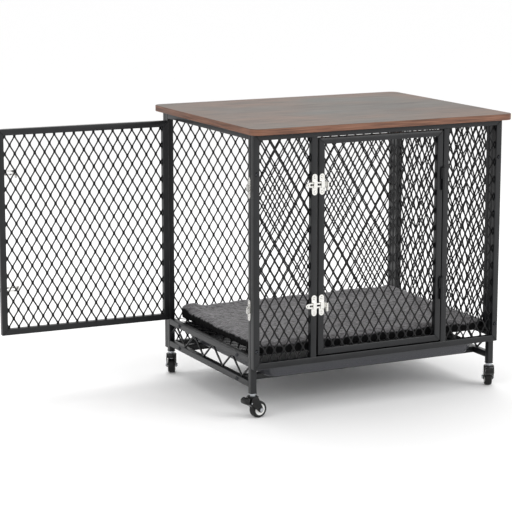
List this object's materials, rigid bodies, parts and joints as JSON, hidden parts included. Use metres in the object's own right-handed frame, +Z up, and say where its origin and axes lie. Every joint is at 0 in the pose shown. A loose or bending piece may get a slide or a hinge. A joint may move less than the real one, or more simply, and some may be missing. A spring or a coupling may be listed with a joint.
{
  "type": "dog crate",
  "caption": "Furniture-style wire dog crate: board top on a black steel cage, hinged front and side doors with slide bolts, floor pad, pull-out tray and swivel casters.",
  "frame": {"origin": "on the floor, at the middle of the whole crate's box with its side door open", "axes": "+X right along the front, +Y to the back, +Z up through the board top"},
  "size_m": [1.1358, 0.568, 0.685],
  "materials": {
    "board": "rustic printed laminate, satin",
    "zinc_fittings": "zinc plated",
    "black_bolts": "blackened",
    "nickel_latch": "bright nickel plate",
    "black_plastic": "moulded",
    "caster_black": "moulded gloss",
    "hub_white": "moulded gloss",
    "wheel_tread": "smooth",
    "tray_plastic": "moulded satin",
    "pad_fleece": "long-pile plush on black cloth",
    "mesh_coating": "powder coat, fine texture",
    "frame_coating": "powder coat, satin"
  },
  "bodies": {
    "root": {"caster_stems": "zinc_fittings", "cross_tubes_lower": "frame_coating", "cross_tubes_upper": "frame_coating", "floor_mesh": "mesh_coating", "frame_bolts": "black_bolts", "front_mesh_left": "mesh_coating", "front_mesh_right": "mesh_coating", "front_panel_frame": "frame_coating", "hinge_frame_knuckles": "frame_coating", "hinge_pins": "frame_coating", "latch_keepers": "nickel_latch", "leg_plugs": "black_plastic", "pad": "pad_fleece", "post_front_left": "frame_coating", "post_front_right": "frame_coating", "post_rear_left": "frame_coating", "post_rear_right": "frame_coating", "rear_mesh": "mesh_coating", "rear_panel_frame": "frame_coating", "right_mesh": "mesh_coating", "right_panel_frame": "frame_coating", "side_rails_lower": "frame_coating", "side_rails_upper": "frame_coating", "table_screws": "zinc_fittings", "table_top": "board", "top_rail_left": "frame_coating", "truss_wires": "frame_coating"},
    "side_door": {"side_door_frame": "frame_coating", "side_door_mesh": "mesh_coating", "side_door_knuckles": "frame_coating", "side_latch_plates": "nickel_latch"},
    "front_door": {"front_door_frame": "frame_coating", "front_door_mesh": "mesh_coating", "front_door_knuckles": "frame_coating", "front_latch_plates": "nickel_latch"},
    "front_bolt_upper": {"front_bolt_upper": "nickel_latch"},
    "front_bolt_lower": {"front_bolt_lower": "nickel_latch"},
    "side_bolt_upper": {"side_bolt_upper": "nickel_latch"},
    "side_bolt_lower": {"side_bolt_lower": "nickel_latch"},
    "tray": {"tray": "tray_plastic"},
    "caster_front_left": {"caster_fork_front_left": "caster_black", "caster_axle_front_left": "zinc_fittings"},
    "wheel_front_left": {"caster_hub_front_left": "hub_white", "caster_tyre_front_left": "wheel_tread"},
    "caster_front_right": {"caster_fork_front_right": "caster_black", "caster_axle_front_right": "zinc_fittings"},
    "wheel_front_right": {"caster_hub_front_right": "hub_white", "caster_tyre_front_right": "wheel_tread"},
    "caster_rear_left": {"caster_fork_rear_left": "caster_black", "caster_axle_rear_left": "zinc_fittings"},
    "wheel_rear_left": {"caster_hub_rear_left": "hub_white", "caster_tyre_rear_left": "wheel_tread"},
    "caster_rear_right": {"caster_fork_rear_right": "caster_black", "caster_axle_rear_right": "zinc_fittings"},
    "wheel_rear_right": {"caster_hub_rear_right": "hub_white", "caster_tyre_rear_right": "wheel_tread"},
    "brake_front_left": {"caster_brake_front_left": "caster_black"},
    "brake_front_right": {"caster_brake_front_right": "caster_black"}
  },
  "joints": [
    {"name": "front_door_hinge", "type": "hinge", "parent": "root", "child": "front_door", "pos_m": [0.38512, -0.2595, 0], "axis": [0, 0, 1], "range_deg": [0, 170]},
    {"name": "side_door_hinge", "type": "hinge", "parent": "root", "child": "side_door", "pos_m": [-0.12438, 0.222, 0], "axis": [0, 0, 1], "range_deg": [-80, 92]},
    {"name": "front_bolt_upper_slide", "type": "slide", "parent": "front_door", "child": "front_bolt_upper", "axis": [1, 0, 0], "range_m": [0, 0.031]},
    {"name": "side_bolt_upper_slide", "type": "slide", "parent": "side_door", "child": "side_bolt_upper", "axis": [-0.9994, 0.0349, 0], "range_m": [0, 0.031]},
    {"name": "front_bolt_lower_slide", "type": "slide", "parent": "front_door", "child": "front_bolt_lower", "axis": [1, 0, 0], "range_m": [0, 0.031]},
    {"name": "side_bolt_lower_slide", "type": "slide", "parent": "side_door", "child": "side_bolt_lower", "axis": [-0.9994, 0.0349, 0], "range_m": [0, 0.031]},
    {"name": "tray_slide", "type": "slide", "parent": "root", "child": "tray", "axis": [0, -1, 0], "range_m": [0, 0.42]},
    {"name": "swivel_front_left", "type": "hinge", "parent": "root", "child": "caster_front_left", "pos_m": [-0.11238, -0.2325, 0.046], "axis": [0, 0, 1], "continuous": true},
    {"name": "roll_front_left", "type": "hinge", "parent": "caster_front_left", "child": "wheel_front_left", "pos_m": [-0.09667, -0.22945, 0.02], "axis": [-0.1908, 0.9816, 0], "continuous": true},
    {"name": "swivel_front_right", "type": "hinge", "parent": "root", "child": "caster_front_right", "pos_m": [0.54262, -0.2325, 0.046], "axis": [0, 0, 1], "continuous": true},
    {"name": "roll_front_right", "type": "hinge", "parent": "caster_front_right", "child": "wheel_front_right", "pos_m": [0.55013, -0.21837, 0.02], "axis": [-0.8829, 0.4695, 0], "continuous": true},
    {"name": "swivel_rear_left", "type": "hinge", "parent": "root", "child": "caster_rear_left", "pos_m": [-0.11238, 0.2325, 0.046], "axis": [0, 0, 1], "continuous": true},
    {"name": "roll_rear_left", "type": "hinge", "parent": "caster_rear_left", "child": "wheel_rear_left", "pos_m": [-0.10537, 0.24688, 0.02], "axis": [-0.8988, 0.4384, 0], "continuous": true},
    {"name": "swivel_rear_right", "type": "hinge", "parent": "root", "child": "caster_rear_right", "pos_m": [0.54262, 0.2325, 0.046], "axis": [0, 0, 1], "continuous": true},
    {"name": "roll_rear_right", "type": "hinge", "parent": "caster_rear_right", "child": "wheel_rear_right", "pos_m": [0.53511, 0.24663, 0.02], "axis": [-0.8829, -0.4695, 0], "continuous": true},
    {"name": "brake_pedal_front_left", "type": "hinge", "parent": "caster_front_left", "child": "brake_front_left", "pos_m": [-0.1222, -0.23441, 0.039], "axis": [0.1908, -0.9816, 0], "range_deg": [0, 6]},
    {"name": "brake_pedal_front_right", "type": "hinge", "parent": "caster_front_right", "child": "brake_front_right", "pos_m": [0.53793, -0.24133, 0.039], "axis": [0.8829, -0.4695, 0], "range_deg": [0, 6]}
  ]
}
